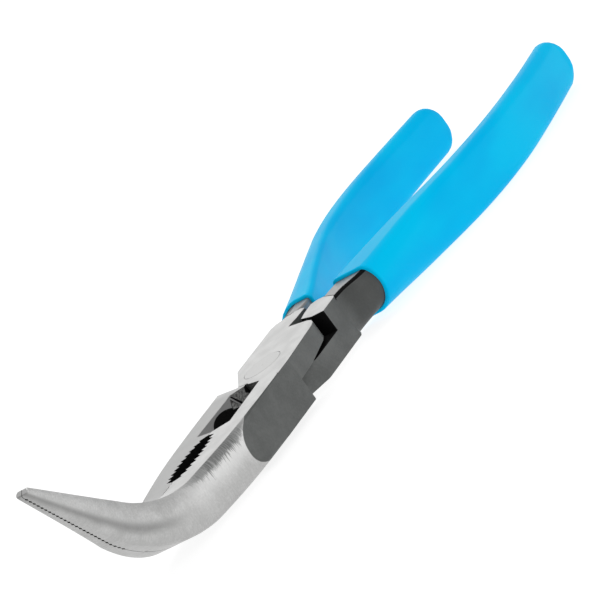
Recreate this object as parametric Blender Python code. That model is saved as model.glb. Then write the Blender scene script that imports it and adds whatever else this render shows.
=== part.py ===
"""Bent needle nose pliers: two forged halves lap-jointed on a flush rivet, with dipped grips.

The frame is metric with +Z up. The origin is on the pivot axis, in the joint's underside.
+Y runs from the pivot towards the jaws, whose noses bend up towards +Z. Each half is a jaw,
half the lap joint and a tang; the left half has its jaw at -X and its tang at +X.
"""
import math

import bmesh
import bpy
from mathutils import Vector

MM = 0.001

# joint
THICK = 9.8 * MM          # both laps together, and the jaw block
MID = THICK / 2
GAP = 0.3 * MM            # between faces that slide or meet
RIVET_R = 4.35 * MM
RIVET_SHAFT_R = 2.7 * MM
RIVET_CONE = 1.7 * MM     # height of each countersunk head
ROUND_SIDES = 48

# jaw block and bent nose
JAW_HALF_W = 9.7 * MM
JAW_REAR_Y = 4.9 * MM
BLOCK_END_Y = 26.0 * MM   # where the nose starts to taper
BEND_START_Y = 45.5 * MM
BEND_RADIUS = 25.9 * MM
BEND_ANGLE = math.radians(51.0)
NOSE_STRAIGHT = 22.0 * MM
BEND_END_HALF_H = 3.95 * MM
TIP_HALF_H = 0.8 * MM
# half widths at these distances along the jaw from BLOCK_END_Y, the last at the tip
NOSE_AT = [-8.0, 6.0, 20.0, 42.0, 65.0]
NOSE_HALF_W = [10.5, 9.75, 7.45, 3.65, 1.65]

# side cutter and pipe grip
CUT_HALF_W = 4.5 * MM     # bevel width on each jaw, at the front
CUT_REAR_HALF_W = 4.1 * MM
CUT_DEPTH = 4.6 * MM      # bevel depth at the cutting edge, from either face
CUT_FRONT_Y = 24.4 * MM
CUT_FRONT_SLANT = 1.7 * MM
POCKET_REAR_Y = 7.4 * MM  # of the pocket's rear edge, at the seam
POCKET_REAR_SLANT = 0.36
POCKET_WALL_RUN = 3.0 * MM  # how far its rear wall leans forward down to the cutting edge
SLOT_W = 0.85 * MM
EYE_Y = 16.6 * MM         # oval eye between the cutting edges
EYE_HALF_W = 3.78 * MM
EYE_HALF_L = 6.4 * MM
GRIP_Y0 = 26.6 * MM       # toothed hollow
GRIP_Y1 = 43.8 * MM
GRIP_DEPTH = 2.1 * MM
TOOTH_DEPTH = 0.75 * MM
TOOTH_COUNT = 10

# lap joint
LAP_FRONT_R = 6.85 * MM   # the lap's front is round about the rivet
TONGUE_R = LAP_FRONT_R + GAP
RELIEF_START_Y = -1.7 * MM
RELIEF_SLOPE = 0.1        # clearance under each lap's free rear corner

# tangs and grips: the centre line bows outwards, then back in
HANDLE_LINE = [(6.0, -14.0), (6.2, -24.0), (7.05, -30.4), (12.8, -49.1), (18.6, -67.8),
               (20.9, -86.6), (20.2, -105.3), (18.0, -125.0)]
TANG_HALF_T = [2.6, 2.55, 3.35, 2.3, 1.8, 1.65, 1.65, 1.65]
TANG_HALF_W = [4.8, 4.8, 4.55, 5.35, 5.55, 5.55, 5.35, 5.15]
TANG_CROWN = [0.0, 0.9, 2.7, 1.5, 0.5, 0.3, 0.3, 0.3]
TANG_START_Y = -17.5 * MM
TANG_END_Y = -124.2 * MM
TANG_EDGE = 0.6 * MM
TANG_ROUND_EDGE = 2.0 * MM  # one outer corner of the shank is rounder than the other
TANG_SINK = 0.5 * MM      # how much slimmer the tang is inside the grip
GRIP_START_Y = -30.6 * MM
GRIP_END_Y = -126.9 * MM
GRIP_SKIN = 0.8 * MM      # from the bare tang's surface to the grip's outside
GRIP_EDGE = 1.4 * MM
GRIP_ROUND_EDGE = 3.3 * MM
GRIP_END_LENGTH = 8.0 * MM


def clear_scene():
    for obj in list(bpy.data.objects):
        bpy.data.objects.remove(obj, do_unlink=True)


def material(name, colour, roughness, metallic):
    mat = bpy.data.materials.new(name)
    mat.use_nodes = True
    bsdf = mat.node_tree.nodes["Principled BSDF"]
    bsdf.inputs["Base Color"].default_value = (*colour, 1.0)
    bsdf.inputs["Roughness"].default_value = roughness
    bsdf.inputs["Metallic"].default_value = metallic
    return mat


def add_object(name, bm, mat=None, sharp_deg=30.0):
    bmesh.ops.remove_doubles(bm, verts=bm.verts, dist=1e-7)
    bmesh.ops.recalc_face_normals(bm, faces=bm.faces)
    mesh = bpy.data.meshes.new(name)
    bm.to_mesh(mesh)
    bm.free()
    mesh.shade_smooth()
    mesh.set_sharp_from_angle(angle=math.radians(sharp_deg))
    obj = bpy.data.objects.new(name, mesh)
    bpy.context.scene.collection.objects.link(obj)
    if mat:
        mesh.materials.append(mat)
    return obj


def as_tool(obj):
    """Marks an operand of a Boolean, which isn't a piece of its own."""
    obj.hide_render = True
    obj.display_type = "WIRE"
    return obj


def prism(name, outline, z0, z1, mat=None):
    """An upright prism on a plan outline of (x, y) points."""
    return loft(name, [[(x, y, z) for x, y in outline] for z in (z0, z1)], mat)


def loft(name, rings, mat=None):
    """A closed solid through rings of equal length, capped at both ends."""
    bm = bmesh.new()
    loops = [[bm.verts.new(p) for p in ring] for ring in rings]
    count = len(rings[0])
    for a, b in zip(loops, loops[1:]):
        for i in range(count):
            j = (i + 1) % count
            bm.faces.new((a[i], a[j], b[j], b[i]))
    bm.faces.new(loops[0])
    bm.faces.new(list(reversed(loops[-1])))
    return add_object(name, bm, mat)


def turned(name, profile, mat=None, sides=ROUND_SIDES):
    """A solid of revolution about Z from (radius, z) points."""
    rings = [[(r * math.cos(2 * math.pi * i / sides), r * math.sin(2 * math.pi * i / sides), z)
              for i in range(sides)] for r, z in profile]
    return loft(name, rings, mat)


def boolean(obj, tool, operation):
    mod = obj.modifiers.new(tool.name, "BOOLEAN")
    mod.operation = operation
    mod.solver = "EXACT"
    mod.object = as_tool(tool)


def fit(xs, ys, x):
    """A smooth curve through the points (xs, ys), whose xs run one way."""
    n = len(xs)
    way = 1 if xs[-1] > xs[0] else -1
    i = 0
    while i < n - 2 and way * x > way * xs[i + 1]:
        i += 1
    slope = []
    for k in (i, i + 1):
        a, b = max(k - 1, 0), min(k + 1, n - 1)
        slope.append((ys[b] - ys[a]) / (xs[b] - xs[a]))
    h = xs[i + 1] - xs[i]
    t = min(max((x - xs[i]) / h, 0.0), 1.0)
    return ((2 * t**3 - 3 * t**2 + 1) * ys[i] + (t**3 - 2 * t**2 + t) * h * slope[0]
            + (3 * t**2 - 2 * t**3) * ys[i + 1] + (t**3 - t**2) * h * slope[1])


def handle_at(y, values):
    return fit([p[1] * MM for p in HANDLE_LINE], [v * MM for v in values], y)


def handle_ring(y, skin, round_edge, edge, shrink_t=1.0, shrink_w=1.0, steps=3):
    """The handle's section at y, grown by skin: crowned outwards, and rounder on one corner."""
    half_t = (handle_at(y, TANG_HALF_T) + skin) * shrink_t
    half_w = (handle_at(y, TANG_HALF_W) + skin) * shrink_w
    crown = handle_at(y, TANG_CROWN) * shrink_t
    fade = min(max((y / MM + 60.0) / 25.0, 0.0), 1.0)
    most = 0.98 * min(half_t, half_w)
    section = []
    for sx, sz, start in ((1, 1, 0), (-1, 1, 90), (-1, -1, 180), (1, -1, 270)):
        radius = min(edge + (round_edge - edge) * fade if start == 0 else edge, most)
        for k in range(steps + 1):
            a = math.radians(start + 90 * k / steps)
            section.append((sx * (half_t - radius) + radius * math.cos(a),
                            sz * (half_w - radius) + radius * math.sin(a)))
    low, high = section[-1][1], section[0][1]
    section += [(half_t, low + (high - low) * k / 6) for k in range(1, 6)]
    centre = Vector((handle_at(y, [p[0] for p in HANDLE_LINE]), y, MID))
    lean = 0.12 * half_w  # the crown is fuller away from the rounder corner
    return [centre + Vector((u + (crown * (1 - ((w + lean) / (half_w + lean)) ** 2) if u > 0 else 0.0),
                             0, w)) for u, w in section]


def tang_skin(y):
    """The tang's offset at y, which is less inside the grip."""
    return -TANG_SINK * min(max((GRIP_START_Y - 2 * MM - y) / (12 * MM), 0.0), 1.0)


def mirrored(points, side):
    """Points of the +X side, or their place on the half that is turned over about Y."""
    if side > 0:
        return [Vector(p) for p in points]
    return [Vector((-p[0], p[1], THICK - p[2])) for p in points]


def spread(a, b, count):
    return [a + (b - a) * k / (count - 1) for k in range(count)]


# jaw and nose

def nose_station(s):
    """Centre, up direction and half height at distance s along the jaw from BLOCK_END_Y."""
    to_bend = BEND_START_Y - BLOCK_END_Y
    arc = BEND_RADIUS * BEND_ANGLE
    if s <= to_bend:
        return Vector((0, BLOCK_END_Y + s, MID)), Vector((0, 0, 1)), MID
    angle = min((s - to_bend) / BEND_RADIUS, BEND_ANGLE)
    centre = Vector((0, BEND_START_Y + BEND_RADIUS * math.sin(angle),
                     MID + BEND_RADIUS * (1 - math.cos(angle))))
    up = Vector((0, -math.sin(angle), math.cos(angle)))
    if s <= to_bend + arc:
        return centre, up, MID + (BEND_END_HALF_H - MID) * (s - to_bend) / arc
    t = (s - to_bend - arc) / NOSE_STRAIGHT
    centre += Vector((0, math.cos(angle), math.sin(angle))) * NOSE_STRAIGHT * t
    return centre, up, BEND_END_HALF_H + (TIP_HALF_H - BEND_END_HALF_H) * t


NOSE_LENGTH = BEND_START_Y - BLOCK_END_Y + BEND_RADIUS * BEND_ANGLE + NOSE_STRAIGHT
SECTION_STEPS = 12


def nose_half_width(s, rise):
    """Half width at distance s, at a height of rise times the half height."""
    width = fit([d * MM for d in NOSE_AT], [w * MM for w in NOSE_HALF_W], s)
    rounding = min(max((s - 12 * MM) / (33 * MM), 0.0), 1.0)
    full = 1.15 + 0.15 * rounding
    power = 2.3 + 3.7 * (1 - rounding) ** 1.5
    return min(JAW_HALF_W, width * (1 - abs(rise / full) ** power) ** (1 / power))


def jaw(name, side):
    """The jaw at side * X, from its slanted rear face to the tip."""
    rises = [-math.cos(math.pi * k / SECTION_STEPS) for k in range(SECTION_STEPS + 1)]
    rings = []
    for y in [0.0] + spread(9 * MM, BLOCK_END_Y - 2 * MM, 5):
        ring = []
        for rise in rises:
            x = nose_half_width(min(y - BLOCK_END_Y, 0.0), rise)
            rear = JAW_REAR_Y + 0.28 * (JAW_HALF_W - x) if y == 0 else y
            ring.append((side * x, rear, MID + MID * rise))
        inner = JAW_REAR_Y + 2.5 * MM if y == 0 else y
        ring += [(side * GAP / 2, inner, THICK), (side * GAP / 2, inner, 0.0)]
        rings.append(ring)
    for s in spread(0.0, NOSE_LENGTH, 34):
        centre, up, half = nose_station(s)
        ring = [centre + up * half * r + Vector((side * nose_half_width(s, r), 0, 0)) for r in rises]
        ring += [centre + up * half + Vector((side * GAP / 2, 0, 0)),
                 centre - up * half + Vector((side * GAP / 2, 0, 0))]
        rings.append(ring)
    return loft(name, rings)


def cutter_bevel(name, side, top, lap_side):
    """The pocket that leaves a cutting bevel. Its rear wall leans, but is upright in the lap."""
    face, out = (THICK, 1) if top else (0.0, -1)
    over = 1.0 * MM
    rings = []
    for front in (False, True):
        half_w = CUT_HALF_W if front else CUT_REAR_HALF_W
        slope = CUT_DEPTH / half_w
        ring = []
        for x, height in ((-over, over), (half_w + over / slope, over),
                          (-over, -CUT_DEPTH - over * slope)):
            if front:
                y = CUT_FRONT_Y + CUT_FRONT_SLANT * (1 - abs(x) / half_w)
            else:
                lean = 0.0 if lap_side else -height / CUT_DEPTH
                y = POCKET_REAR_Y + POCKET_REAR_SLANT * x + POCKET_WALL_RUN * lean
            ring.append((side * x, y, face + out * height))
        rings.append(ring)
    return loft(name, rings)


def slot(name, side, top):
    """The small relief slot at the tongue's tip, beside the seam."""
    z0, z1 = (MID + 0.3 * MM, THICK + MM) if top else (-MM, MID - 0.3 * MM)
    box = [(-MM, 6.3 * MM), (SLOT_W, 6.3 * MM), (SLOT_W, 8.4 * MM), (-MM, 8.4 * MM)]
    return prism(name, [(side * x, y) for x, y in box], z0, z1)


def tongue(name, side, z0, z1):
    """The jaw's rear lip, which hugs the other half's round lap front."""
    outline = [(x, math.sqrt(TONGUE_R ** 2 - x ** 2)) for x in spread(GAP / 2, 3.1 * MM, 7)]
    outline += [(3.5 * MM, 6.8 * MM), (3.6 * MM, 9.5 * MM), (GAP / 2, 9.5 * MM)]
    return prism(name, [(side * x, y) for x, y in outline], z0, z1)


def eye(name):
    return prism(name, [(EYE_HALF_W * math.cos(2 * math.pi * k / 32),
                         EYE_Y + EYE_HALF_L * math.sin(2 * math.pi * k / 32)) for k in range(32)],
                 -MM, THICK + MM)


def pipe_grip(name, side):
    """The toothed hollow: a shallow arc with a saw edge, cut right through."""
    middle, half = (GRIP_Y0 + GRIP_Y1) / 2, (GRIP_Y1 - GRIP_Y0) / 2
    outline = [(-side * MM, GRIP_Y1), (-side * MM, GRIP_Y0)]
    for k in range(2 * TOOTH_COUNT + 1):
        y = GRIP_Y0 + (GRIP_Y1 - GRIP_Y0) * k / (2 * TOOTH_COUNT)
        depth = GRIP_DEPTH * math.sqrt(max(1 - ((y - middle) / half) ** 2, 0.0))
        depth += TOOTH_DEPTH * (k % 2)
        outline.append((side * max(depth, 0.05 * MM), y))
    return prism(name, outline, -MM, THICK + MM)


# lap joint

def on_half(points, side):
    return [(side * x * MM, y * MM) for x, y in points]


def lap(name, side):
    """The +Z lap with its jaw at -X, or the same turned over about Y for the other half."""
    arc = [(LAP_FRONT_R * math.sin(math.radians(a)) / MM, LAP_FRONT_R * math.cos(math.radians(a)) / MM)
           for a in spread(3, 30, 6)]
    outline = [(-9.65, 10.0), (-0.5, 10.0), (-0.15, 7.2)] + arc + [
        (8.9, -3.6), (9.0, -4.6), (8.93, -15.0), (8.9, -20.1), (6.0, -23.9), (2.3, -23.9), (1.7, -20.9),
        (1.5, -16.5), (-3.1, -14.9), (-5.0, -14.2), (-6.6, -13.1), (-7.8, -11.6), (-8.5, -9.8),
        (-8.95, -4.0), (-9.5, 3.0), (-9.65, 5.5)]
    z0, z1 = (MID + GAP / 2, THICK) if side > 0 else (0.0, MID - GAP / 2)
    return prism(name, on_half(outline, side), z0, z1)


def relief(name, side):
    """The clearance under the lap's free rear corner, deeper towards the rear."""
    rear = -16.0 * MM
    rings = []
    for y in (RELIEF_START_Y, rear):
        level = side * (GAP / 2 + RELIEF_SLOPE * (RELIEF_START_Y - y))
        rings.append([(side * x * MM, y, MID + z) for x, z in
                      ((-10.0, level), (-3.4, level), (-3.4, -side * 0.5 * MM),
                       (-10.0, -side * 0.5 * MM))])
    return loft(name, rings)


def shoulder(name, side):
    """The full-thickness block between the lap and the tang."""
    outline = [(8.9, -15.1), (8.87, -20.6), (8.2, -21.9), (4.2, -24.4), (2.3, -24.5), (0.8, -23.7),
               (1.0, -19.8), (1.5, -17.2), (5.5, -15.2)]
    return prism(name, on_half(outline, side), 0.0, THICK)


def tang(name, side):
    rings = [mirrored(handle_ring(y, tang_skin(y), TANG_ROUND_EDGE, TANG_EDGE), side)
             for y in spread(TANG_START_Y, TANG_END_Y + 5 * MM, 34)]
    for y, shrink in ((TANG_END_Y + 2 * MM, 0.8), (TANG_END_Y, 0.5)):
        rings.append(mirrored(handle_ring(y, tang_skin(y), TANG_ROUND_EDGE, TANG_EDGE, 1.0, shrink),
                              side))
    return loft(name, rings)


def half(name, side, mat):
    """One forged half: side is where its tang is, and its jaw is on the other."""
    body = jaw(name, -side)
    body.data.materials.append(mat)
    z0, z1 = (0.0, MID - GAP / 2) if side > 0 else (MID + GAP / 2, THICK)
    for part in (tongue(name + "_tongue", -side, z0, z1), lap(name + "_lap", side),
                 shoulder(name + "_shoulder", side), tang(name + "_tang", side)):
        boolean(body, part, "UNION")
    for top in (True, False):
        label = name + ("_top" if top else "_under")
        lap_side = top == (side > 0)
        boolean(body, cutter_bevel(label + "_bevel", -side, top, lap_side), "DIFFERENCE")
        if not lap_side:
            boolean(body, slot(label + "_slot", -side, top), "DIFFERENCE")
    boolean(body, eye(name + "_eye"), "DIFFERENCE")
    boolean(body, pipe_grip(name + "_pipe_grip", -side), "DIFFERENCE")
    boolean(body, relief(name + "_relief", side), "DIFFERENCE")
    boolean(body, rivet(name + "_bore", GAP), "DIFFERENCE")
    return body


def rivet(name, grow, mat=None):
    """The flush rivet with a countersunk head at each end, grown for its bore."""
    over = MM if grow else 0.0
    r, shaft = RIVET_R + grow, RIVET_SHAFT_R + grow
    cone = RIVET_CONE
    profile = [(r, -over), (r, 0.3 * MM), (shaft, cone), (shaft, THICK - cone),
               (r, THICK - 0.3 * MM), (r, THICK + over)]
    return turned(name, profile, mat)


def grip(name, side, mat):
    """A dipped sleeve on one tang: open at the dip line, and round at the end."""
    inner = []
    for y in spread(GRIP_START_Y, TANG_END_Y + 5 * MM, 34):
        inner.append(handle_ring(y, tang_skin(y) + GAP, TANG_ROUND_EDGE, TANG_EDGE))
    for y, shrink in ((TANG_END_Y + 2 * MM, 0.86), (TANG_END_Y - GAP, 0.58)):
        inner.append(handle_ring(y, tang_skin(y) + GAP, TANG_ROUND_EDGE, TANG_EDGE, 1.0, shrink))
    end_start = GRIP_END_Y + GRIP_END_LENGTH
    outer = [handle_ring(y, GRIP_SKIN, GRIP_ROUND_EDGE, GRIP_EDGE)
             for y in spread(GRIP_START_Y, end_start, 34)]
    for a in spread(9, 86, 8):
        t = math.sin(math.radians(a))
        outer.append(handle_ring(end_start - GRIP_END_LENGTH * t, GRIP_SKIN, GRIP_ROUND_EDGE,
                                 GRIP_EDGE, (1 - t ** 4) ** 0.25, math.sqrt(1 - t ** 2)))
    rings = [mirrored(ring, side) for ring in list(reversed(inner)) + outer]
    return loft(name, rings, mat)


def parent_to(child, holder):
    child.parent = holder


def main():
    clear_scene()
    steel = material("forged_steel", (0.46, 0.46, 0.45), 0.38, 0.9)
    steel_b = material("forged_steel_lower", (0.46, 0.46, 0.45), 0.38, 0.9)
    pin = material("rivet_steel", (0.55, 0.55, 0.54), 0.35, 0.95)
    vinyl = material("blue_vinyl_right", (0.0, 0.42, 0.78), 0.25, 0.0)
    vinyl_b = material("blue_vinyl_left", (0.0, 0.42, 0.78), 0.25, 0.0)

    pivot = bpy.data.objects.new("jaw_pivot", None)
    bpy.context.scene.collection.objects.link(pivot)

    half("left_jaw_half", 1, steel)
    grip("right_handle_grip", 1, vinyl)
    rivet("pivot_rivet", 0.0, pin)

    parent_to(half("right_jaw_half", -1, steel_b), pivot)
    parent_to(grip("left_handle_grip", -1, vinyl_b), pivot)


main()
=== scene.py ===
"""The looks of the bent needle nose pliers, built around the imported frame.

Lengths are in metres, in the frame's axes: +Z along the rivet, +Y towards the jaws. Each steel
half, each grip and the rivet is remade here as a finer mesh of the CAD node's shape.
"""

import math

import bmesh
import bpy
from mathutils import Matrix, Vector


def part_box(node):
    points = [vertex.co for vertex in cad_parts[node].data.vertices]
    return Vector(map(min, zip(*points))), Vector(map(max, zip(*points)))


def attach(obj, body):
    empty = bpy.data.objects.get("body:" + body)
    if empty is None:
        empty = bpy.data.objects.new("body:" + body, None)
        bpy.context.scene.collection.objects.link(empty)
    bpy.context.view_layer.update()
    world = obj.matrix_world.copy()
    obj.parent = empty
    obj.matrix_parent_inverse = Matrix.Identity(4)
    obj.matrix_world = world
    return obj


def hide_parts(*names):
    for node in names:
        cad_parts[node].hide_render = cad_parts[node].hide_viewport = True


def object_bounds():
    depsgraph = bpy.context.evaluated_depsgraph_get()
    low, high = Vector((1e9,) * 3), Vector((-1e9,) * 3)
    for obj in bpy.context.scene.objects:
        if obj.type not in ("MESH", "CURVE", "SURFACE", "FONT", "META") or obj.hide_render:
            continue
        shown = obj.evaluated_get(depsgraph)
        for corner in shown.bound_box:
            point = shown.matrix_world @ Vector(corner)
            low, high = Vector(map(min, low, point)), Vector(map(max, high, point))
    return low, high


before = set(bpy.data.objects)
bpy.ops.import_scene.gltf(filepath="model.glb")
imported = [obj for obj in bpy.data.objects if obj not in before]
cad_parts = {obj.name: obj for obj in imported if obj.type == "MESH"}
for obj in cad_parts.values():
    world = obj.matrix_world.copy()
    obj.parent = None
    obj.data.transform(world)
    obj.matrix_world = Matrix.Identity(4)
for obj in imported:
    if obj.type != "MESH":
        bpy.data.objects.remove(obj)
cad_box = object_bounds()

MM = 0.001

# ---------------------------------------------------------------- dimensions
rivet_low, rivet_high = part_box("pivot_rivet")
THICK = rivet_high.z - rivet_low.z
MID = THICK / 2
RIVET_R = rivet_high.x
RIVET_SHAFT_R = 2.7 * MM
RIVET_RIM = 0.3 * MM          # height of the upright rim at each end
RIVET_CONE = 1.7 * MM         # where the countersunk head ends
RIVET_EDGE = 0.06 * MM
RIVET_DOT_R = 0.28 * MM       # the centre mark in each end
RIVET_DOT_DEPTH = 0.12 * MM
BORE_CLEAR = 0.03 * MM

STEEL_EDGE = 0.14 * MM        # width of the rounding along the steel's edges
SOFTENED_FROM = math.radians(32)   # flatter edges stay as they are
SEAM = 0.07 * MM              # half the gap between the closed jaws
LAP_GAP = 0.04 * MM           # half the gap between the laps
LAP_FRONT_R = 6.85 * MM
TONGUE_R = 6.98 * MM          # of the hollow in front of the lap
TONGUE_REACH = 3.1 * MM       # of that hollow, from the seam
JAW_HALF_W = 9.7 * MM
JAW_REAR_Y = 4.9 * MM
JAW_REAR_SLANT = 0.28
BLOCK_END_Y = 26.0 * MM
BEND_START_Y = 45.5 * MM
BEND_RADIUS = 25.9 * MM
BEND_ANGLE = math.radians(51.0)
NOSE_STRAIGHT = 22.0 * MM
BEND_END_HALF_H = 3.95 * MM
TIP_HALF_H = 0.8 * MM
NOSE_AT = [-8.0, 6.0, 20.0, 42.0, 65.0]
NOSE_HALF_W = [10.5, 9.75, 7.45, 3.65, 1.65]
NOSE_LENGTH = BEND_START_Y - BLOCK_END_Y + BEND_RADIUS * BEND_ANGLE + NOSE_STRAIGHT
NOSE_UNDER_ROUND = 0.8 * MM   # along the nose's lower edge
NOSE_ROUND_FROM = 12.0 * MM   # along the nose, where its section starts to get rounder
SECTION_STEPS = 30

SERRATED_FROM = 39.0 * MM     # along the nose
SERRATION = 0.95 * MM         # pitch
SERRATION_DEPTH = 0.26 * MM

CUT_HALF_W = 4.5 * MM         # bevel width at its front
CUT_REAR_HALF_W = 4.1 * MM
CUT_DEPTH = 4.6 * MM
CUT_FRONT_Y = 24.4 * MM
CUT_FRONT_SLANT = 1.7 * MM
POCKET_REAR_Y = 7.4 * MM      # of the pocket's rear edge, at the seam
POCKET_REAR_SLANT = 0.36
POCKET_WALL_RUN = 3.0 * MM    # how far the rear wall leans forward down to the cutting edge
SLOT_W = 0.85 * MM
EYE_Y = 16.6 * MM
EYE_HALF_W = 3.78 * MM
EYE_HALF_L = 6.4 * MM
PIPE_Y0 = 26.6 * MM
PIPE_Y1 = 43.8 * MM
PIPE_DEPTH = 2.1 * MM
TOOTH_DEPTH = 1.15 * MM
TOOTH_COUNT = 10
RELIEF_START_Y = -1.7 * MM
RELIEF_SLOPE = 0.1

HANDLE_LINE = [(6.0, -14.0), (6.2, -24.0), (7.05, -30.4), (12.8, -49.1), (18.6, -67.8),
               (20.9, -86.6), (20.2, -105.3), (18.0, -125.0)]
TANG_HALF_T = [2.6, 2.55, 3.35, 2.3, 1.8, 1.65, 1.65, 1.65]
TANG_HALF_W = [4.8, 4.8, 4.55, 5.35, 5.55, 5.55, 5.35, 5.15]
TANG_CROWN = [0.0, 0.9, 2.7, 1.5, 0.5, 0.3, 0.3, 0.3]
TANG_START_Y = -17.5 * MM
TANG_END_Y = -124.4 * MM
TANG_EDGE = 0.6 * MM
TANG_ROUND_EDGE = {1: 3.0 * MM, -1: 1.8 * MM}   # of the handle's rounder edge, by side
ROUND_FADE_END = -82.0        # mm; behind this y the rounder edge is like the others
ROUND_FADE_LENGTH = 47.0      # mm
CROWN_LEAN = 0.12             # how far the crown's top is off the middle
GRIP_START_Y = -30.6 * MM
GRIP_END_Y = -127.8 * MM
GRIP_CLEAR = 0.06 * MM
GRIP_SKIN = 0.8 * MM          # from the tang to the grip's outside
GRIP_EDGE = 1.4 * MM
GRIP_ROUND_EDGE = {1: 4.6 * MM, -1: 2.5 * MM}
GRIP_END_SOFTER = 0.9 * MM    # how much rounder the edges are at the end
GRIP_END_EDGE = 1.2 * MM
GRIP_END_LENGTH = 5.0 * MM    # of the round end
GRIP_END_POWER = 2.3          # 2 would be an ellipse
GRIP_LIP = 0.35 * MM

# side is 1 for the left half and -1 for the right one, whose shapes are mirrored. A half's jaw
# is on the other side of the seam from its handle, because the halves cross at the rivet.

# material slots of a steel half; the near-black one is painted shade for hollows, gaps and creases
GROUND, FORGED, NOSE, FACET, SHADE_BLACK, ROUGH, SATIN = range(7)


# ---------------------------------------------------------------- materials
class Nodes:
    """Short calls for building one material's node tree."""

    def __init__(self, name):
        self.mat = bpy.data.materials.new(name)
        self.mat.use_nodes = True
        self.tree = self.mat.node_tree
        self.bsdf = self.tree.nodes["Principled BSDF"]

    def add(self, kind, **values):
        node = self.tree.nodes.new(kind)
        for key, value in values.items():
            setattr(node, key, value)
        return node

    def link(self, a, b):
        self.tree.links.new(a, b)

    def put(self, socket, value):
        if hasattr(value, "is_linked"):
            self.link(value, socket)
        else:
            socket.default_value = value

    def math(self, operation, a, b=0.0, c=0.0, clamp=False):
        node = self.add("ShaderNodeMath", operation=operation, use_clamp=clamp)
        for socket, value in zip(node.inputs, (a, b, c)):
            self.put(socket, value)
        return node.outputs[0]

    def step(self, value, low, high):
        """0 at low, 1 at high and smooth between them, whichever of them is larger."""
        node = self.add("ShaderNodeMapRange", interpolation_type="SMOOTHSTEP")
        self.put(node.inputs["Value"], value)
        node.inputs["From Min"].default_value = low
        node.inputs["From Max"].default_value = high
        return node.outputs["Result"]

    def mix(self, factor, a, b):
        node = self.add("ShaderNodeMix", data_type="RGBA")
        self.put(node.inputs["Factor"], factor)
        for socket, value in ((node.inputs["A"], a), (node.inputs["B"], b)):
            self.put(socket, (*value, 1.0) if isinstance(value, tuple) else value)
        return node.outputs["Result"]

    def scaled(self, vector, scale):
        mapping = self.add("ShaderNodeMapping")
        self.link(vector, mapping.inputs["Vector"])
        mapping.inputs["Scale"].default_value = scale
        return mapping.outputs["Vector"]

    def place(self, scale=(1.0, 1.0, 1.0)):
        """Object coordinates in millimetres, scaled along each axis."""
        coords = self.add("ShaderNodeTexCoord")
        return self.scaled(coords.outputs["Object"], [1000.0 * s for s in scale])

    def place_xy(self):
        """X and Y of the object coordinates, in millimetres."""
        split = self.add("ShaderNodeSeparateXYZ")
        self.link(self.place(), split.inputs["Vector"])
        return split.outputs["X"], split.outputs["Y"]

    def form(self):
        """The nose's own coordinates: millimetres along it, the rise from -1 to 1, and both."""
        uv = self.add("ShaderNodeUVMap", uv_map="form")
        split = self.add("ShaderNodeSeparateXYZ")
        self.link(uv.outputs["UV"], split.inputs["Vector"])
        return split.outputs["X"], split.outputs["Y"], uv.outputs["UV"]

    def noise(self, vector, scale, detail=2.0, roughness=0.5):
        node = self.add("ShaderNodeTexNoise")
        self.link(vector, node.inputs["Vector"])
        node.inputs["Scale"].default_value = scale
        node.inputs["Detail"].default_value = detail
        node.inputs["Roughness"].default_value = roughness
        return node.outputs["Fac"]

    def bump(self, height, strength, distance):
        node = self.add("ShaderNodeBump")
        node.inputs["Strength"].default_value = strength
        node.inputs["Distance"].default_value = distance
        self.link(height, node.inputs["Height"])
        self.link(node.outputs["Normal"], self.bsdf.inputs["Normal"])

    def finish(self, colour, roughness, metallic, specular=0.5):
        self.put(self.bsdf.inputs["Base Color"],
                 (*colour, 1.0) if isinstance(colour, tuple) else colour)
        self.put(self.bsdf.inputs["Roughness"], roughness)
        self.bsdf.inputs["Metallic"].default_value = metallic
        self.bsdf.inputs["Specular IOR Level"].default_value = specular
        return self.mat


def ground_steel():
    """Belt-ground faces: long fine lines, a little mottling, and painted shade on the far jaw's
    rear.
    """
    n = Nodes("ground_steel")
    lines = n.noise(n.place((1.0, 0.06, 1.0)), 9.0, 3.0, 0.6)
    cloud = n.noise(n.place(), 0.22, 3.0, 0.55)
    tone = n.math("MULTIPLY_ADD", lines, 0.35, n.math("MULTIPLY", cloud, 0.65))
    colour = n.mix(n.step(tone, 0.35, 0.65), (0.44, 0.44, 0.435), (0.54, 0.54, 0.535))
    x, y = n.place_xy()
    # painted shade: the ground faces at the far jaw's rear are darkened
    far_jaw_shade = n.math("MULTIPLY", n.step(x, -0.2, 0.6), n.step(y, 5.0, 9.0))
    colour = n.mix(n.math("MULTIPLY", far_jaw_shade, 0.75), colour, (0.28, 0.28, 0.278))
    n.bump(lines, 0.12, 0.00004)
    return n.finish(colour, n.math("MULTIPLY_ADD", lines, 0.14, 0.34), 0.5)


def forged_colour(n):
    """The dark skin of the forging, darker still on the tangs: its colour and its grain."""
    cloud = n.noise(n.place(), 0.16, 4.0, 0.6)
    grain = n.noise(n.place(), 2.2, 4.0, 0.65)
    tone = n.math("MULTIPLY_ADD", grain, 0.35, n.math("MULTIPLY", cloud, 0.65))
    colour = n.mix(n.step(tone, 0.32, 0.68), (0.082, 0.086, 0.084), (0.118, 0.123, 0.12))
    on_tang = n.math("MULTIPLY", n.step(n.place_xy()[1], -20.5, -24.0), 0.6)
    return n.mix(on_tang, colour, (0.03, 0.032, 0.031)), grain


def forged_steel():
    """The side flats, the shoulders' sides and the tangs."""
    n = Nodes("forged_steel")
    colour, grain = forged_colour(n)
    n.bump(grain, 0.25, 0.00006)
    return n.finish(colour, 0.5, 0.35)


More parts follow.
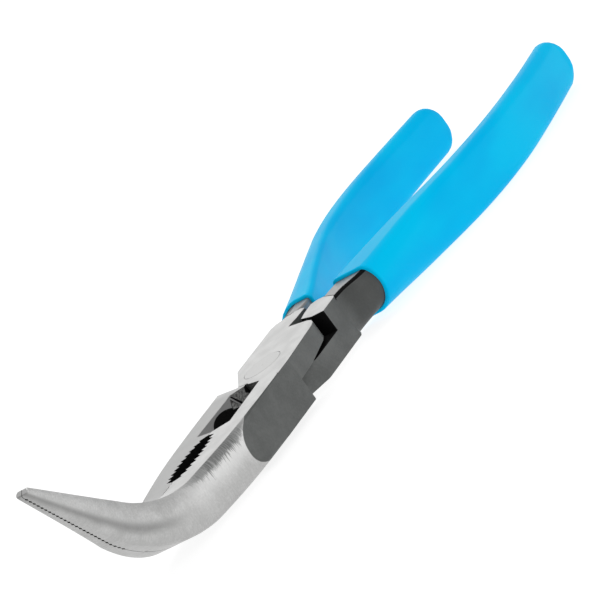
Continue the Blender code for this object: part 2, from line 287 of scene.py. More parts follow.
def nose_steel():
    """Cross-ground nose, with the forging's dark skin left on the side flats behind it."""
    n = Nodes("nose_steel")
    along, rise, form = n.form()
    lines = n.noise(n.scaled(form, (1.0, 0.5, 1.0)), 4.5, 5.0, 0.8)
    cloud = n.noise(n.place(), 0.3, 3.0, 0.5)
    mottle = n.math("MULTIPLY_ADD", lines, 0.6, n.math("MULTIPLY", cloud, 0.4))
    satin = n.mix(n.step(mottle, 0.25, 0.75), (0.44, 0.44, 0.435), (0.68, 0.68, 0.675))
    # painted shade darkens the underside, and a band of painted shade runs along it to the tip
    low = n.step(n.math("MULTIPLY_ADD", cloud, 0.4, n.math("SUBTRACT", -0.2, rise)), -0.5, 0.9)
    satin = n.mix(n.math("MULTIPLY", low, 0.35), satin, (0.26, 0.26, 0.255))
    middle = n.math("MULTIPLY_ADD", along, -0.019, n.math("MULTIPLY_ADD", cloud, 0.12, 0.36))
    off = n.math("ABSOLUTE", n.math("SUBTRACT", rise, middle))
    streak = n.math("MULTIPLY", n.step(off, 0.42, 0.0), n.step(along, 22.0, 38.0))
    streak = n.math("MULTIPLY", streak, n.math("MULTIPLY_ADD", lines, 0.9, 0.1))
    satin = n.mix(streak, satin, (0.12, 0.12, 0.118))
    grit = n.step(n.noise(n.place(), 2.4, 5.0, 0.85), 0.38, 0.62)
    satin = n.mix(n.math("MULTIPLY_ADD", grit, -0.22, 0.22), satin, (0.24, 0.24, 0.237))
    # painted highlight: the upper side is lightened towards the nose's root
    painted_highlight = n.math("MULTIPLY", n.step(along, 32.0, 12.0), n.step(rise, -0.5, 0.5))
    satin = n.mix(n.math("MULTIPLY", painted_highlight, 0.5), satin, (0.86, 0.86, 0.855))
    dark, grain = forged_colour(n)
    # the flat's front edge is a round arc, about 8.4 mm long and as tall as the jaw
    height = n.math("ABSOLUTE", n.math("MULTIPLY", rise, 0.93))
    bow = n.math("SUBTRACT", 1.0, n.math("POWER", height, 2.4))
    bow = n.math("SQRT", n.math("MAXIMUM", bow, 0.0))
    edge = n.math("ADD", n.math("MULTIPLY_ADD", bow, 8.3, -2.6),
                  n.math("MULTIPLY_ADD", rise, -0.8, -0.1))
    flat = n.step(n.math("SUBTRACT", edge, along), -0.12, 0.12)
    # a streaky band of scale is left under the top edge, with a ragged lower side
    comb = n.scaled(form, (1.0, 0.12, 1.0))
    ragged = n.math("MULTIPLY_ADD", n.noise(comb, 5.5, 3.0, 0.75), 2.6, -1.3)
    depth = n.math("SUBTRACT", 0.99, rise)
    band_width = n.math("MULTIPLY", n.step(along, 29.0, 15.0), n.step(along, -7.0, 8.0))
    inside = n.math("MULTIPLY_ADD", band_width, 0.42, n.math("MULTIPLY", depth, -1.0))
    ragged = n.math("MULTIPLY", ragged, n.math("ADD", depth, 0.08))
    band = n.step(n.math("ADD", inside, ragged), -0.03, 0.05)
    streaks = n.step(n.noise(comb, 8.0, 4.0, 0.8), 0.36, 0.6)
    scale = n.math("MULTIPLY", band, n.math("MULTIPLY_ADD", streaks, 0.45, 0.5))
    colour = n.mix(n.math("MULTIPLY", scale, band_width), satin, dark)
    colour = n.mix(flat, colour, dark)
    n.bump(n.math("ADD", n.math("MULTIPLY", lines, 0.8), n.math("MULTIPLY", grain, 0.2)),
           0.3, 0.00006)
    rough = n.math("MULTIPLY_ADD", flat, 0.12, n.math("MULTIPLY_ADD", lines, 0.14, 0.33))
    return n.finish(colour, rough, 0.5)


def satin_steel():
    """The tangs' faces, apart from the crowned outer one."""
    n = Nodes("satin_steel")
    lines = n.noise(n.place((1.0, 0.15, 1.0)), 5.0, 3.0, 0.6)
    colour = n.mix(lines, (0.22, 0.218, 0.215), (0.30, 0.297, 0.293))
    n.bump(lines, 0.15, 0.00004)
    return n.finish(colour, 0.4, 0.5)


def facet_steel():
    """The cutting bevels."""
    n = Nodes("cutter_facet_steel")
    lines = n.noise(n.place((1.0, 0.1, 1.0)), 6.0, 2.0, 0.6)
    colour = n.mix(lines, (0.20, 0.20, 0.20), (0.27, 0.27, 0.27))
    n.bump(lines, 0.1, 0.00004)
    return n.finish(colour, 0.35, 0.7)


def painted_shade_black():
    """Painted shade: near black, for the hollows, slots, gaps and the tang's crease."""
    n = Nodes("painted_shade_black")
    colour = n.mix(n.noise(n.place(), 3.0), (0.002, 0.002, 0.002), (0.008, 0.008, 0.008))
    return n.finish(colour, 0.8, 0.0, 0.05)


def rough_steel():
    """As-forged faces in the pocket."""
    n = Nodes("rough_steel")
    grain = n.noise(n.place(), 2.6, 5.0, 0.7)
    colour = n.mix(n.step(grain, 0.35, 0.7), (0.045, 0.045, 0.044), (0.24, 0.24, 0.235))
    n.bump(grain, 0.6, 0.0002)
    return n.finish(colour, 0.5, 0.5)


def rivet_steel():
    n = Nodes("rivet_steel")
    lines = n.noise(n.place((1.0, 0.06, 1.0)), 9.0, 3.0, 0.6)
    colour = n.mix(lines, (0.43, 0.43, 0.425), (0.53, 0.53, 0.525))
    n.bump(lines, 0.12, 0.00004)
    return n.finish(colour, n.math("MULTIPLY_ADD", lines, 0.14, 0.34), 0.5)


def vinyl(name):
    """Dipped vinyl: glossy, with a slow waviness and faint thickness changes."""
    n = Nodes(name)
    cloud = n.noise(n.place((1.0, 0.35, 1.0)), 0.10, 2.0, 0.5)
    wavy = n.noise(n.place((1.0, 0.6, 1.0)), 0.45, 3.0, 0.5)
    colour = n.mix(n.step(cloud, 0.3, 0.7), (0.0, 0.445, 0.81), (0.0, 0.52, 0.85))
    n.bump(wavy, 0.12, 0.0002)
    n.bsdf.inputs["Specular Tint"].default_value = (0.0, 0.7, 1.0, 1.0)
    n.bsdf.inputs["Coat Weight"].default_value = 0.08
    n.bsdf.inputs["Coat Roughness"].default_value = 0.14
    return n.finish(colour, n.math("MULTIPLY_ADD", wavy, 0.10, 0.28), 0.0, 0.01)


# in the order of the material slots of a steel half
steels = [ground_steel(), forged_steel(), nose_steel(), facet_steel(), painted_shade_black(), rough_steel(),
          satin_steel()]


# ---------------------------------------------------------------- small mesh tools
def spread(a, b, count):
    """count numbers from a to b, evenly spaced."""
    return [a + (b - a) * k / (count - 1) for k in range(count)]


def unit(x):
    """x, held between 0 and 1."""
    return min(max(x, 0.0), 1.0)


def fit(xs, ys, x):
    """A smooth curve through the points (xs, ys), whose xs run one way."""
    n = len(xs)
    way = 1 if xs[-1] > xs[0] else -1
    i = 0
    while i < n - 2 and way * x > way * xs[i + 1]:
        i += 1
    slope = []
    for k in (i, i + 1):
        a, b = max(k - 1, 0), min(k + 1, n - 1)
        slope.append((ys[b] - ys[a]) / (xs[b] - xs[a]))
    h = xs[i + 1] - xs[i]
    t = unit((x - xs[i]) / h)
    return ((2 * t**3 - 3 * t**2 + 1) * ys[i] + (t**3 - 2 * t**2 + t) * h * slope[0]
            + (3 * t**2 - 2 * t**3) * ys[i + 1] + (t**3 - t**2) * h * slope[1])


def add_object(name, bm):
    """Links a new object made from bm, with the steels in its material slots."""
    bmesh.ops.recalc_face_normals(bm, faces=bm.faces)
    mesh = bpy.data.meshes.new(name)
    for mat in steels:
        mesh.materials.append(mat)
    bm.to_mesh(mesh)
    bm.free()
    obj = bpy.data.objects.new(name, mesh)
    bpy.context.scene.collection.objects.link(obj)
    return obj


def loft(name, rings, slot_of=None, form=None):
    """A closed solid through rings of equal length. form gives each point's (u, v).

    slot_of(k, i) is the material slot of side i between the rings k and k + 1. The cap on the
    first ring is k = -1, and the one on the last ring is k = -2.
    """
    bm = bmesh.new()
    layer = bm.loops.layers.uv.new("form")
    loops = [[bm.verts.new(p) for p in ring] for ring in rings]
    count = len(rings[0])
    where = {}
    if form:
        for verts, values in zip(loops, form):
            where.update(zip(verts, values))
    for k, (a, b) in enumerate(zip(loops, loops[1:])):
        for i in range(count):
            j = (i + 1) % count
            face = bm.faces.new((a[i], a[j], b[j], b[i]))
            face.material_index = slot_of(k, i) if slot_of else 0
    for end, cap in ((-1, loops[0]), (-2, list(reversed(loops[-1])))):
        face = bm.faces.new(cap)
        face.material_index = slot_of(end, 0) if slot_of else 0
    if form:
        for face in bm.faces:
            for loop in face.loops:
                loop[layer].uv = where[loop.vert]
    return add_object(name, bm)


def prism(name, outline, z0, z1, sides, caps, shaded_sides=()):
    """An upright prism on a plan outline. z0 and z1 may be functions of x and y."""
    def level(z, x, y):
        return z(x, y) if callable(z) else z

    def slot_of(k, i):
        return caps if k < 0 else SHADE_BLACK if i in shaded_sides else sides

    return loft(name, [[(x, y, level(z, x, y)) for x, y in outline] for z in (z0, z1)], slot_of)


def turned(name, profile, slot, sides=96):
    """A turned solid about +Z, from a profile of (radius, height)."""
    rings = [[(r * math.cos(2 * math.pi * i / sides), r * math.sin(2 * math.pi * i / sides), z)
              for i in range(sides)] for r, z in profile]
    return loft(name, rings, lambda k, i: slot)


def settle(obj):
    """Applies an object's modifiers."""
    graph = bpy.context.evaluated_depsgraph_get()
    mesh = bpy.data.meshes.new_from_object(obj.evaluated_get(graph))
    obj.modifiers.clear()
    obj.data = mesh


def combine(obj, tool, operation):
    """Applies a Boolean to obj, and removes the tool."""
    mod = obj.modifiers.new("cut", "BOOLEAN")
    mod.operation = operation
    mod.solver = "EXACT"
    mod.material_mode = "INDEX"
    mod.object = tool
    settle(obj)
    bpy.data.objects.remove(tool)


# ---------------------------------------------------------------- the jaw and its nose
def nose_station(s):
    """Centre, up direction and half height at distance s along the jaw from BLOCK_END_Y."""
    to_bend = BEND_START_Y - BLOCK_END_Y
    arc = BEND_RADIUS * BEND_ANGLE
    if s <= to_bend:
        return Vector((0, BLOCK_END_Y + s, MID)), Vector((0, 0, 1)), MID
    angle = min((s - to_bend) / BEND_RADIUS, BEND_ANGLE)
    centre = Vector((0, BEND_START_Y + BEND_RADIUS * math.sin(angle),
                     MID + BEND_RADIUS * (1 - math.cos(angle))))
    up = Vector((0, -math.sin(angle), math.cos(angle)))
    if s <= to_bend + arc:
        return centre, up, MID + (BEND_END_HALF_H - MID) * (s - to_bend) / arc
    t = (s - to_bend - arc) / NOSE_STRAIGHT
    centre += Vector((0, math.cos(angle), math.sin(angle))) * NOSE_STRAIGHT * t
    return centre, up, BEND_END_HALF_H + (TIP_HALF_H - BEND_END_HALF_H) * t


def nose_half_width(s, rise):
    """Half width at distance s, at a height of rise times the half height."""
    width = fit([d * MM for d in NOSE_AT], [w * MM for w in NOSE_HALF_W], s)
    rounding = unit((s - NOSE_ROUND_FROM) / (33 * MM))
    full = 1.15 + 0.15 * rounding
    power = 2.3 + 3.7 * (1 - rounding) ** 1.5
    return min(JAW_HALF_W, width * (1 - abs(rise / full) ** power) ** (1 / power))


def nose_stops():
    """Distances along the nose, with the serrations' lands and valleys, and the groove depths."""
    stops = [(s, 0.0) for s in spread(0.0, SERRATED_FROM - 0.5 * MM, 62)]
    s = SERRATED_FROM
    while s < NOSE_LENGTH - 1.2 * MM:
        stops += [(s, 0.0), (s + 0.36 * SERRATION, 0.0), (s + 0.68 * SERRATION, SERRATION_DEPTH)]
        s += SERRATION
    return stops + [(s, 0.0), (NOSE_LENGTH - 0.25 * MM, 0.0), (NOSE_LENGTH, 0.0)]


def under_round(s, height):
    """How far the nose's lower edge is rounded off at s, at a height above its underside."""
    radius = NOSE_UNDER_ROUND * unit((s - NOSE_ROUND_FROM) / (18 * MM))
    if height >= radius:
        return 0.0
    return radius - math.sqrt(radius ** 2 - (radius - height) ** 2)


def jaw(name, side):
    """The jaw and its bent nose, swept from the joint to the tip."""
    rises = [-math.cos(math.pi * k / SECTION_STEPS) for k in range(SECTION_STEPS + 1)]
    rings, form = [], []
    for y in [0.0] + spread(9 * MM, BLOCK_END_Y - 0.6 * MM, 28):
        ring = []
        for rise in rises:
            x = nose_half_width(min(y - BLOCK_END_Y, 0.0), rise)
            rear = JAW_REAR_Y + JAW_REAR_SLANT * (JAW_HALF_W - x) if y == 0 else y
            ring.append((side * x, rear, MID + MID * rise))
        inner = JAW_REAR_Y + 2.5 * MM if y == 0 else y
        ring += [(side * SEAM, inner, THICK), (side * SEAM, inner, 0.0)]
        rings.append(ring)
        form.append([((y - BLOCK_END_Y) / MM, r) for r in rises + [1.0, -1.0]])
    for s, groove in nose_stops():
        centre, up, half = nose_station(s)
        ease = 0.18 * MM if s > NOSE_LENGTH - 0.1 * MM else 0.0
        half -= ease
        ring = []
        for r in rises:
            x = nose_half_width(s, r) - ease - under_round(s, half * (1 + r))
            ring.append(centre + up * half * r + Vector((side * x, 0, 0)))
        seam = Vector((side * (SEAM + groove), 0, 0))
        ring += [centre + up * half + seam, centre - up * half + seam]
        rings.append(ring)
        form.append([(s / MM, r) for r in rises + [1.0, -1.0]])

    def slot_of(k, i):
        if i < SECTION_STEPS or k < 0:
            return NOSE
        return {SECTION_STEPS: GROUND, SECTION_STEPS + 1: ROUGH}.get(i, NOSE)

    return loft(name, rings, slot_of, form)


def tongue(name, side, z0, z1):
    """The jaw's rear lip, which hugs the other half's round lap front."""
    outline = [(x, math.sqrt(TONGUE_R ** 2 - x ** 2)) for x in spread(SEAM, TONGUE_REACH, 9)]
    outline += [(3.5 * MM, 6.65 * MM), (3.6 * MM, 9.5 * MM), (SEAM, 9.5 * MM)]
    return prism(name, [(side * x, y) for x, y in outline], z0, z1, ROUGH, GROUND)


def cutter_bevel(name, side, top, lap_side):
    """The pocket that leaves a cutting bevel. Its rear wall leans, but is upright in the lap."""
    face, out = (THICK, 1) if top else (0.0, -1)
    over = 1.0 * MM
    rings = []
    for front in (False, True):
        half_w = CUT_HALF_W if front else CUT_REAR_HALF_W
        slope = CUT_DEPTH / half_w
        ring = []
        for x, height in ((-over, over), (half_w + over / slope, over),
                          (-over, -CUT_DEPTH - over * slope)):
            if front:
                y = CUT_FRONT_Y + CUT_FRONT_SLANT * (1 - abs(x) / half_w)
            else:
                lean = 0.0 if lap_side else -height / CUT_DEPTH
                y = POCKET_REAR_Y + POCKET_REAR_SLANT * x + POCKET_WALL_RUN * lean
            ring.append((side * x, y, face + out * height))
        rings.append(ring)
    return loft(name, rings, lambda k, i: ROUGH if k == -1 else FACET)


def bevel_level(top, depth):
    """The height of the cutting bevel at (x, y), sunk by depth."""
    def level(x, y):
        down = CUT_DEPTH * (1 - abs(x) / (0.5 * (CUT_REAR_HALF_W + CUT_HALF_W) - 0.1 * MM)) + depth
        return THICK - down if top else down
    return level


def pocket_cuts(name, side, top, lap_side):
    """The groove, the ridge and the dark notch behind the eye, and the slot by the seam."""
    cuts = []
    # the slot and the groove are painted near black, as painted shade inside them
    if not lap_side:
        z0, z1 = (MID + 0.3 * MM, THICK + MM) if top else (-MM, MID - 0.3 * MM)
        box = [(-MM, 6.3 * MM), (SLOT_W, 6.3 * MM), (SLOT_W, 8.4 * MM), (-MM, 8.4 * MM)]
        cuts.append(prism(name + "_slot", [(side * x, y) for x, y in box], z0, z1, SHADE_BLACK, SHADE_BLACK))
    groove = [(3.9, 8.97), (3.9, 9.42), (-0.5, 10.75), (-0.5, 10.15)]
    notch = [(3.75, 10.0), (2.75, 12.3), (-0.5, 12.9), (-0.5, 11.1)]
    for label, outline, slot, depth in (("_groove", groove, SHADE_BLACK, 0.5),
                                        ("_notch", notch, ROUGH, 0.35)):
        points = [(side * x * MM, y * MM) for x, y in outline]
        away = -3.0 * MM
        cuts.append(prism(name + label, points, bevel_level(top, depth * MM),
                          bevel_level(top, away), slot, slot))
    return cuts


def eye(name):
    """The oval opening in the middle of the cutting edges."""
    # the opening's walls are painted near black, as painted shade inside it
    return prism(name, [(EYE_HALF_W * math.cos(2 * math.pi * k / 64),
                         EYE_Y + EYE_HALF_L * math.sin(2 * math.pi * k / 64)) for k in range(64)],
                 -MM, THICK + MM, SHADE_BLACK, SHADE_BLACK)


def pipe_grip(name, side):
    """The toothed hollow in front of the cutter."""
    middle, half = (PIPE_Y0 + PIPE_Y1) / 2, (PIPE_Y1 - PIPE_Y0) / 2
    outline = [(-side * MM, PIPE_Y1), (-side * MM, PIPE_Y0)]
    for k in range(2 * TOOTH_COUNT + 1):
        y = PIPE_Y0 + (PIPE_Y1 - PIPE_Y0) * k / (2 * TOOTH_COUNT)
        depth = PIPE_DEPTH * math.sqrt(max(1 - ((y - middle) / half) ** 2, 0.0))
        outline.append((side * max(depth + TOOTH_DEPTH * (k % 2), 0.05 * MM), y))
    # the hollow's walls are painted near black, as painted shade
    return prism(name, outline, -MM, THICK + MM, SHADE_BLACK, SHADE_BLACK)


# ---------------------------------------------------------------- lap, shoulder and tang
def on_half(points, side):
    """A plan outline, given in millimetres for the left half."""
    return [(side * x * MM, y * MM) for x, y in points]


def lap(name, side):
    """One lap, whose front is round about the rivet."""
    arc = [(LAP_FRONT_R * math.sin(a) / MM, LAP_FRONT_R * math.cos(a) / MM)
           for a in spread(math.radians(3), math.radians(30), 8)]
    outline = [(-9.7, 10.0), (-0.5, 10.0), (-0.1, 7.2)] + arc + [
        (8.9, -3.6), (9.0, -4.6), (8.93, -15.1), (8.9, -20.1), (6.0, -23.9), (2.3, -23.9),
        (1.7, -20.9), (1.5, -16.5), (-3.1, -14.9), (-5.0, -14.2), (-6.6, -13.1), (-7.8, -11.6),
        (-8.5, -9.8), (-8.95, -4.0), (-9.55, 3.0), (-9.7, 4.9)]
    first = 3 + len(arc)
    rear = range(first + 7, first + 11)
    outline = on_half(outline, side)
    z0, z1 = (MID + LAP_GAP, THICK) if side > 0 else (0.0, MID - LAP_GAP)
    sliding_face = -1 if side > 0 else -2

    # the sliding face and the rear walls are painted near black: painted shade between the laps and
    # behind them
    def slot_of(k, i):
        if k < 0:
            return SHADE_BLACK if k == sliding_face else GROUND
        return SHADE_BLACK if i in rear else FORGED

    return loft(name, [[(x, y, z) for x, y in outline] for z in (z0, z1)], slot_of)


def relief(name, side):
    """The clearance under the lap's free rear corner, deeper towards the rear."""
    start = RELIEF_START_Y / MM
    outline = [(-10.0, start), (-10.0, -16.0), (-3.4, -16.0), (-3.4, start)]

    def level(x, y):
        return MID + side * (LAP_GAP + RELIEF_SLOPE * (RELIEF_START_Y - y))

    z_low = MID - side * 0.5 * MM
    z0, z1 = (z_low, level) if side > 0 else (level, z_low)
    # its faces are painted near black, as painted shade in the clearance
    return prism(name, on_half(outline, side), z0, z1, SHADE_BLACK, SHADE_BLACK)


def shoulder(name, side):
    """The full-thickness block behind the lap, where the tang starts."""
    outline = [(8.93, -15.1), (8.9, -20.6), (8.2, -21.9), (4.2, -24.4), (2.3, -24.5), (0.8, -23.7),
               (1.0, -19.8), (1.5, -17.2), (5.5, -15.2)]
    # its two front walls, where it rises beside the lap, are painted near black as painted shade
    return prism(name, on_half(outline, side), 0.0, THICK, FORGED, GROUND, (7, 8))


def handle_at(y, values):
    """The value at y, from one for each point of HANDLE_LINE."""
    return fit([p[1] * MM for p in HANDLE_LINE], [v * MM for v in values], y)


def handle_ring(y, skin, round_edge, edge, steps, shrink_t=1.0, shrink_w=1.0):
    """The handle's section at y, grown by skin: crowned outwards, and rounder on one corner."""
    half_t = (handle_at(y, TANG_HALF_T) + skin) * shrink_t
    half_w = (handle_at(y, TANG_HALF_W) + skin) * shrink_w
    crown = handle_at(y, TANG_CROWN) * shrink_t
    fade = unit((y / MM - ROUND_FADE_END) / ROUND_FADE_LENGTH)
    fade = fade * fade * (3 - 2 * fade)
    most = 0.98 * min(half_t, half_w)
    section = []
    for sx, sz, start in ((1, 1, 0), (-1, 1, 90), (-1, -1, 180), (1, -1, 270)):
        radius = min(edge + (round_edge - edge) * fade if start == 0 else edge, most)
        for k in range(steps + 1):
            a = math.radians(start + 90 * k / steps)
            section.append((sx * (half_t - radius) + radius * math.cos(a),
                            sz * (half_w - radius) + radius * math.sin(a)))
        if start == 90:
            section += [(-half_t, section[-1][1] * k) for k in (0.6, 0.2, -0.2, -0.6)]
    low, high = section[-1][1], section[0][1]
    section += [(half_t, low + (high - low) * k / 10) for k in range(1, 10)]
    centre = Vector((handle_at(y, [p[0] for p in HANDLE_LINE]), y, MID))
    lean = CROWN_LEAN * half_w
    ring = []
    for u, w in section:
        bulge = crown * (1 - ((w + lean) / (half_w + lean)) ** 2) if u > 0 else 0.0
        ring.append(centre + Vector((u + bulge, 0, w)))
    return ring


def mirrored(points, side):
    """The left half's points, or the same turned over for the right half."""
    if side > 0:
        return [Vector(p) for p in points]
    return [Vector((-p[0], p[1], THICK - p[2])) for p in points]


def grip_edge(y):
    """The grip's edges get rounder towards its end."""
    return GRIP_EDGE + GRIP_END_SOFTER * unit((-65 * MM - y) / (45 * MM))


def tang(name, side):
    """The handle's steel core, narrower at its end."""
    steps = 4

    def ring(y, shrink_w=1.0):
        return mirrored(handle_ring(y, 0.0, TANG_ROUND_EDGE[side], TANG_EDGE, steps, 1.0, shrink_w),
                        side)

    rings = [ring(y) for y in spread(TANG_START_Y, TANG_END_Y + 5 * MM, 80)]
    rings += [ring(TANG_END_Y + 2 * MM, 0.8), ring(TANG_END_Y, 0.5)]
    # the facets of one rounded corner are painted near black: a painted shadow line along the
    # crease
    crease = range(3 * steps + 7, 4 * steps + 7)

    def slot_of(k, i):
        if i in crease:
            return SHADE_BLACK
        return FORGED if i >= crease[-1] or i < steps else SATIN

    return loft(name, rings, slot_of)


def merge_flats(obj):
    """Joins neighbouring faces that lie in one plane."""
    bm = bmesh.new()
    bm.from_mesh(obj.data)
    bmesh.ops.dissolve_limit(bm, angle_limit=math.radians(0.15), verts=bm.verts, edges=bm.edges,
                             delimit={"MATERIAL"})
    bm.to_mesh(obj.data)
    bm.free()


def soften_edges(obj):
    """Rounds the steel's sharp edges, apart from those of the fine teeth and the pocket."""
    bm = bmesh.new()
    bm.from_mesh(obj.data)
    bmesh.ops.remove_doubles(bm, verts=bm.verts, dist=2e-6)
    bmesh.ops.dissolve_degenerate(bm, edges=bm.edges, dist=2e-6)
    weight = bm.edges.layers.float.get("bevel_weight_edge") or \
        bm.edges.layers.float.new("bevel_weight_edge")
    tip_y = nose_station(SERRATED_FROM - MM)[0].y
    for edge in bm.edges:
        if len(edge.link_faces) != 2 or edge.calc_face_angle(0.0) < SOFTENED_FROM:
            continue
        middle = (edge.verts[0].co + edge.verts[1].co) / 2
        in_seam = abs(middle.x) < 1.2 * MM and middle.y > tip_y
        in_teeth = abs(middle.x) < 3.4 * MM and PIPE_Y0 - MM < middle.y < PIPE_Y1 + MM
        in_pocket = abs(middle.x) < 4.8 * MM and 6.2 * MM < middle.y < 13.5 * MM
        if not (in_seam or in_teeth or in_pocket):
            edge[weight] = 1.0
    bm.to_mesh(obj.data)
    bm.free()
    mod = obj.modifiers.new("soft edges", "BEVEL")
    mod.limit_method = "WEIGHT"
    mod.width = STEEL_EDGE
    mod.segments = 2
    mod.use_clamp_overlap = False
    settle(obj)


def smooth(obj, sharp_deg):
    """Shades obj smooth, with sharp edges from an angle up and flat normals on large faces."""
    obj.data.shade_smooth()
    obj.data.set_sharp_from_angle(angle=math.radians(sharp_deg))
    mod = obj.modifiers.new("flat normals", "WEIGHTED_NORMAL")
    mod.keep_sharp = True
    settle(obj)


def steel_half(name, side):
    """One forged half, joined from its parts and then cut."""
    body = jaw(name, -side)
    z0, z1 = (0.0, MID - LAP_GAP) if side > 0 else (MID + LAP_GAP, THICK)
    for part in (tongue(name + "_tongue", -side, z0, z1), lap(name + "_lap", side),
                 shoulder(name + "_shoulder", side), tang(name + "_tang", side)):
        combine(body, part, "UNION")
    cuts = [eye(name + "_eye"), pipe_grip(name + "_pipe", -side), relief(name + "_relief", side)]
    for top in (True, False):
        label = name + ("_top" if top else "_under")
        cuts.append(cutter_bevel(label + "_bevel", -side, top, top == (side > 0)))
        cuts += pocket_cuts(label, -side, top, top == (side > 0))
    for cut in cuts + [rivet_body(name + "_bore", BORE_CLEAR)]:
        combine(body, cut, "DIFFERENCE")
    merge_flats(body)
    soften_edges(body)
    smooth(body, 38)
    return body


# ---------------------------------------------------------------- rivet and grips
def rivet_body(name, grow=0.0):
    """The rivet, or the cutter for its bore if grow is the clearance."""
    over = MM if grow else 0.0
    r, shaft = RIVET_R + grow, RIVET_SHAFT_R + grow
    profile = [(r, -over), (r, RIVET_RIM), (shaft, RIVET_CONE), (shaft, THICK - RIVET_CONE),
               (r, THICK - RIVET_RIM), (r, THICK + over)]
    if not grow:
        centre, middle = 0.02 * MM, 1.5 * MM
        low_end = [(centre, RIVET_DOT_DEPTH), (RIVET_DOT_R, 0.0), (middle, 0.0),
                   (r - RIVET_EDGE, 0.0), (r, RIVET_EDGE)]
        high_end = [(radius, THICK - height) for radius, height in reversed(low_end)]
        profile = low_end + profile[1:-1] + high_end
    # the bore's walls are painted near black, as painted shade in the gap round the rivet
    return turned(name, profile, SHADE_BLACK if grow else GROUND)


def grip(name, side):
    """A dipped sleeve: open with a thin rim at the dip line, and round at the end."""
    inner_edge, outer_edge = TANG_ROUND_EDGE[side], GRIP_ROUND_EDGE[side]
    inner = [handle_ring(y, GRIP_CLEAR, inner_edge, TANG_EDGE, 5)
             for y in spread(GRIP_START_Y, TANG_END_Y + 5 * MM, 60)]
    for y, shrink in ((TANG_END_Y + 2 * MM, 0.86), (TANG_END_Y - GRIP_CLEAR, 0.58)):
        inner.append(handle_ring(y, GRIP_CLEAR, inner_edge, TANG_EDGE, 5, 1.0, shrink))
    outer = []
    for a in (0, 22, 45, 67, 90):
        y = GRIP_START_Y - GRIP_LIP * (1 - math.cos(math.radians(a)))
        skin = GRIP_SKIN - GRIP_LIP * (1 - math.sin(math.radians(a)))
        outer.append(handle_ring(y, skin, outer_edge, grip_edge(y), 5))
    end_start, power = GRIP_END_Y + GRIP_END_LENGTH, GRIP_END_POWER
    for y in spread(GRIP_START_Y - GRIP_LIP - 0.8 * MM, end_start, 110):
        outer.append(handle_ring(y, GRIP_SKIN, outer_edge, grip_edge(y), 5))
    for a in spread(3, 88.5, 30):
        t = math.sin(math.radians(a))
        y = end_start - GRIP_END_LENGTH * t
        inset = max(GRIP_END_EDGE - (y - GRIP_END_Y), 0.0)
        thin = GRIP_END_EDGE - math.sqrt(GRIP_END_EDGE ** 2 - inset ** 2)
        half_t = handle_at(y, TANG_HALF_T) + GRIP_SKIN
        outer.append(handle_ring(y, GRIP_SKIN, outer_edge, grip_edge(y), 5, 1 - thin / half_t,
                                 (1 - t ** power) ** (1 / power)))
    rings = [mirrored(ring, side) for ring in list(reversed(inner)) + outer]
    obj = loft(name, rings)
    smooth(obj, 50)
    return obj


# ---------------------------------------------------------------- assembly
for name, side, body in (("left_steel_half", 1, "left_jaw"),
                         ("right_steel_half", -1, "right_jaw")):
    piece = steel_half(name, side)
    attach(piece, body)
    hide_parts(name.replace("steel", "jaw"))

for name, side, body in (("right_grip_sleeve", 1, "left_jaw"),
                         ("left_grip_sleeve", -1, "right_jaw")):
    piece = grip(name, side)
    piece.data.materials.clear()
    piece.data.materials.append(vinyl(name.replace("sleeve", "vinyl")))
    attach(piece, body)
    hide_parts(name.replace("grip_sleeve", "handle_grip"))

pin = rivet_body("flush_rivet")
pin.data.shade_smooth()
pin.data.set_sharp_from_angle(angle=math.radians(15))
pin.data.materials.clear()
pin.data.materials.append(rivet_steel())
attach(pin, "left_jaw")
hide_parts("pivot_rivet")

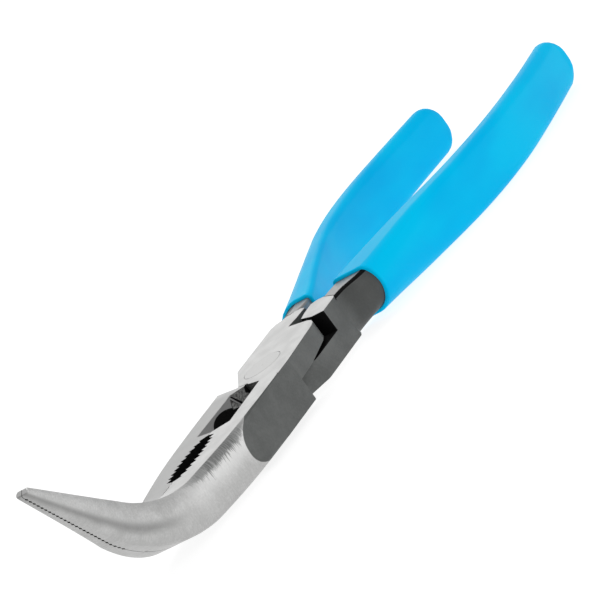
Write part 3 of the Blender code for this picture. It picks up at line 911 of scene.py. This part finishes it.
# ---------------------------------------------------------------- floor, light and camera
FLOOR_GAP = 0.2 * MM
floor_mesh = bmesh.new()
bmesh.ops.create_grid(floor_mesh, x_segments=1, y_segments=1, size=12.0)
floor = add_object("floor", floor_mesh)
floor.location.z = cad_box[0][2] - FLOOR_GAP
pale = Nodes("pale_floor")
pale.bsdf.inputs["Emission Color"].default_value = (1, 1, 1, 1)
pale.bsdf.inputs["Emission Strength"].default_value = 0.84
floor.data.materials.clear()
floor.data.materials.append(pale.finish((0.26, 0.26, 0.26), 0.9, 0.0, 0.1))

world = bpy.data.worlds.new("studio")
bpy.context.scene.world = world
world.use_nodes = True
background = world.node_tree.nodes["Background"]
background.inputs["Color"].default_value = (1, 1, 1, 1)
background.inputs["Strength"].default_value = 0.5


def softbox(name, place, size, power):
    """A square area light that points at the pliers."""
    data = bpy.data.lights.new(name, "AREA")
    data.shape = "SQUARE"
    data.size = size
    data.energy = power
    obj = bpy.data.objects.new(name, data)
    bpy.context.scene.collection.objects.link(obj)
    obj.location = place
    aim = Vector((0, -0.02, 0)) - Vector(place)
    obj.rotation_euler = aim.to_track_quat("-Z", "Y").to_euler()


softbox("overhead", (0.2, -0.3, 1.2), 1.0, 5.0)
softbox("backdrop", (0.9, -1.1, 0.55), 1.3, 4.5)
softbox("camera_left", (-1.0, 0.5, 0.7), 0.8, 5.0)

# the camera looks along the nose from the left jaw's side, and is rolled
AZIMUTH, ELEVATION, ROLL = math.radians(-36.953), math.radians(12.255), math.radians(-36.603)
DISTANCE = 0.8552
TARGET = Vector((0.01922, -0.04837, MID))
FOCAL_PIXELS, IMAGE_PIXELS, SENSOR = 4068.1, 600, 36.0
away = Vector((math.sin(AZIMUTH) * math.cos(ELEVATION), math.cos(AZIMUTH) * math.cos(ELEVATION),
               math.sin(ELEVATION)))
horizon = (-away).cross(Vector((0, 0, 1))).normalized()
upright = horizon.cross(-away)
right = math.cos(ROLL) * horizon + math.sin(ROLL) * upright
up = -math.sin(ROLL) * horizon + math.cos(ROLL) * upright
lens = bpy.data.cameras.new("camera")
lens.sensor_width = SENSOR
lens.lens = SENSOR * FOCAL_PIXELS / IMAGE_PIXELS
lens.clip_start, lens.clip_end = 0.01, 50.0
camera = bpy.data.objects.new("camera", lens)
bpy.context.scene.collection.objects.link(camera)
camera.matrix_world = Matrix.Translation(TARGET + DISTANCE * away) @ \
    Matrix((right, up, away)).transposed().to_4x4()
bpy.context.scene.camera = camera
bpy.context.scene.view_settings.view_transform = "Standard"
